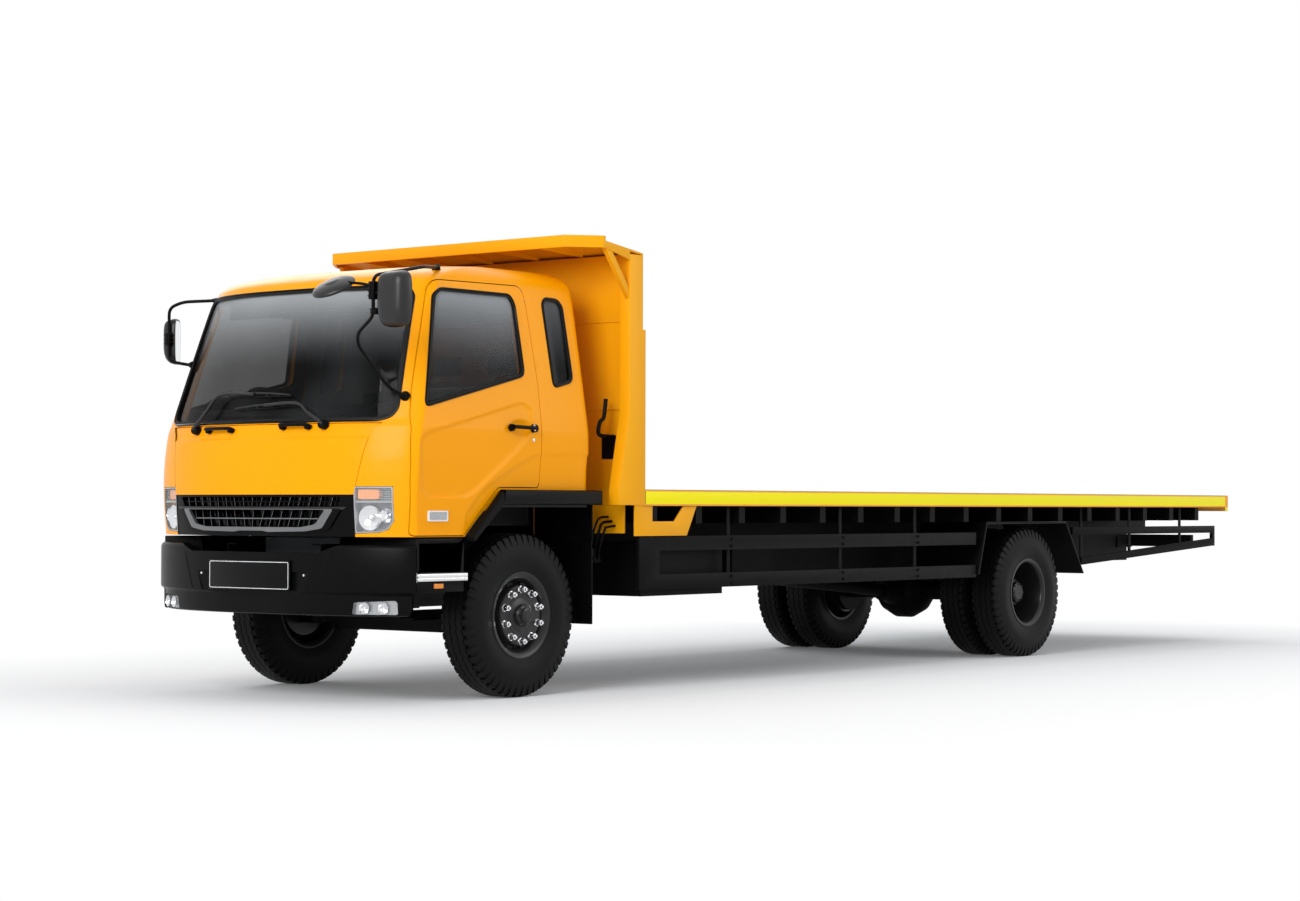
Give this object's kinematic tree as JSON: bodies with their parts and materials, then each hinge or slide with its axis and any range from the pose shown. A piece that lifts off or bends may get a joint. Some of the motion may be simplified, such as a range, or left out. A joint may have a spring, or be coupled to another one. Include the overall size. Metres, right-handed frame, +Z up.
{
  "type": "flatbed truck",
  "caption": "Cab-over rigid truck with a long flat load deck, headboard with cab canopy, side guards, steered front wheels, twin rear wheels, opening doors and a tilting cab.",
  "frame": {"origin": "on the ground under the middle of the truck's length and width", "axes": "+X towards the front, +Y to the left side, +Z up"},
  "size_m": [11.4, 2.8403, 3.02],
  "materials": {
    "chassis_black": "satin",
    "cast_metal": "matte",
    "exhaust_steel": "matte",
    "black_plastic": "satin",
    "lamp_lens": "gloss",
    "cab_paint": "gloss",
    "deck_paint": "satin",
    "board_paint": "satin",
    "window_glass": "gloss",
    "interior_trim": "matte",
    "seat_fabric": "matte",
    "tyre_rubber": "matte",
    "wheel_steel": "satin"
  },
  "bodies": {
    "chassis": {"frame": "chassis_black", "engine": "cast_metal", "driveline": "chassis_black", "front_axle": "chassis_black", "rear_axle": "chassis_black", "leaf_springs": "chassis_black", "tanks": "chassis_black", "exhaust": "exhaust_steel", "bumper": "black_plastic", "chassis_lamps": "lamp_lens", "steps": "black_plastic", "mudguards": "chassis_black", "side_guards": "chassis_black", "rear_guard": "chassis_black", "subframe": "chassis_black", "deck": "deck_paint", "headboard": "board_paint", "canopy": "board_paint"},
    "cab": {"cab_shell": "cab_paint", "tilt_arms": "chassis_black", "front_panel": "cab_paint", "grille": "black_plastic", "headlamps": "lamp_lens", "cab_glass": "window_glass", "arch_flares": "black_plastic", "dashboard": "interior_trim", "steering_wheel": "interior_trim", "seats": "seat_fabric", "mirror_left": "black_plastic", "wipers": "black_plastic"},
    "door_left": {"door_left": "cab_paint", "door_glass_left": "window_glass"},
    "door_right": {"door_right": "cab_paint", "door_glass_right": "window_glass", "mirror_right": "black_plastic"},
    "knuckle_left": {"knuckle_left": "chassis_black"},
    "knuckle_right": {"knuckle_right": "chassis_black"},
    "tie_rod": {"tie_rod": "chassis_black"},
    "wheel_left": {"tyre_left": "tyre_rubber", "wheel_left": "wheel_steel"},
    "wheel_right": {"tyre_right": "tyre_rubber", "wheel_right": "wheel_steel"},
    "twin_wheels_left": {"tyres_left": "tyre_rubber", "wheels_left": "wheel_steel"},
    "twin_wheels_right": {"tyres_right": "tyre_rubber", "wheels_right": "wheel_steel"}
  },
  "joints": [
    {"name": "cab_tilt", "type": "hinge", "parent": "chassis", "child": "cab", "pos_m": [5.28, 0, 0.7], "axis": [0, 1, 0], "range_deg": [0, 45]},
    {"name": "door_left_open", "type": "hinge", "parent": "cab", "child": "door_left", "pos_m": [5.168, 1.125, 1.5], "axis": [0, 0, -1], "range_deg": [0, 70]},
    {"name": "door_right_open", "type": "hinge", "parent": "cab", "child": "door_right", "pos_m": [5.168, -1.125, 1.5], "axis": [0, 0, 1], "range_deg": [0, 70]},
    {"name": "steer_left", "type": "hinge", "parent": "chassis", "child": "knuckle_left", "pos_m": [4.08, 0.785, 0.528], "axis": [0, 0, 1], "range_deg": [-35, 35]},
    {"name": "steer_right", "type": "hinge", "parent": "chassis", "child": "knuckle_right", "pos_m": [4.08, -0.785, 0.528], "axis": [0, 0, 1], "range_deg": [-35, 35]},
    {"name": "tie_rod_pivot", "type": "hinge", "parent": "knuckle_left", "child": "tie_rod", "pos_m": [3.8, 0.785, 0.4], "axis": [0, 0, 1], "range_deg": [-35, 35]},
    {"name": "wheel_left_roll", "type": "hinge", "parent": "knuckle_left", "child": "wheel_left", "pos_m": [4.08, 0.97, 0.528], "axis": [0, 1, 0], "continuous": true},
    {"name": "wheel_right_roll", "type": "hinge", "parent": "knuckle_right", "child": "wheel_right", "pos_m": [4.08, -0.97, 0.528], "axis": [0, 1, 0], "continuous": true},
    {"name": "twin_left_roll", "type": "hinge", "parent": "chassis", "child": "twin_wheels_left", "pos_m": [-2.12, 0.93, 0.528], "axis": [0, 1, 0], "continuous": true},
    {"name": "twin_right_roll", "type": "hinge", "parent": "chassis", "child": "twin_wheels_right", "pos_m": [-2.12, -0.93, 0.528], "axis": [0, 1, 0], "continuous": true}
  ],
  "couplings": [
    {"joint": "steer_right", "follows": "steer_left", "ratio": 1},
    {"joint": "tie_rod_pivot", "follows": "steer_left", "ratio": -1}
  ]
}
